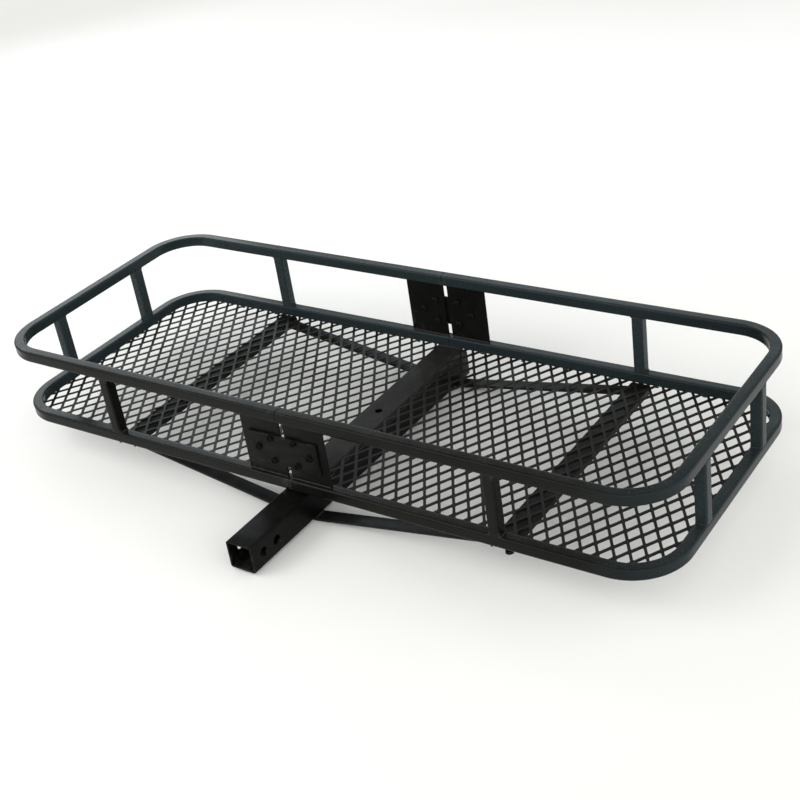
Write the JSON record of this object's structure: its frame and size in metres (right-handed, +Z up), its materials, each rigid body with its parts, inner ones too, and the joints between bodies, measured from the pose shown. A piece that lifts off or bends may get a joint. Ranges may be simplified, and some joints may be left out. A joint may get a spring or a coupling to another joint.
{
  "type": "hitch cargo carrier",
  "caption": "Receiver-mounted cargo basket: two stacked square-tube rails, expanded-mesh floor, bolted centre splice, cross channels, flat braces and square shank.",
  "frame": {"origin": "on the axis of the main hitch pin hole, in the middle of the square shank", "axes": "+X along the basket's long side, +Y from the shank's open end to the far side of the basket, +Z up"},
  "size_m": [1.32, 0.6605, 0.2165],
  "materials": {
    "frame": "satin black powder coat",
    "mesh": "satin black powder coat",
    "centre_channel": "satin black powder coat",
    "fasteners": "black coated steel"
  },
  "bodies": {
    "root": {"shank": "frame", "centre_channel": "centre_channel", "cross_channel_left": "frame", "cross_channel_right": "frame", "upper_rail_left": "frame", "upper_rail_right": "frame", "lower_rail_left": "frame", "lower_rail_right": "frame", "floor_mesh_left": "mesh", "floor_mesh_right": "mesh", "front_upright_left": "frame", "front_upright_right": "frame", "rear_upright_left": "frame", "rear_upright_right": "frame", "end_upright_left_front": "frame", "end_upright_left_rear": "frame", "end_upright_right_front": "frame", "end_upright_right_rear": "frame", "splice_plate_front_left": "frame", "splice_plate_front_right": "frame", "splice_plate_rear_left": "frame", "splice_plate_rear_right": "frame", "lap_plate_front": "frame", "lap_plate_rear": "frame", "splice_bolts_front": "fasteners", "splice_bolts_rear": "fasteners", "splice_nuts_front": "fasteners", "splice_nuts_rear": "fasteners", "brace_front_left": "frame", "brace_front_right": "frame", "brace_rear_left": "frame", "brace_rear_right": "frame", "channel_bolt": "fasteners"}
  },
  "joints": []
}
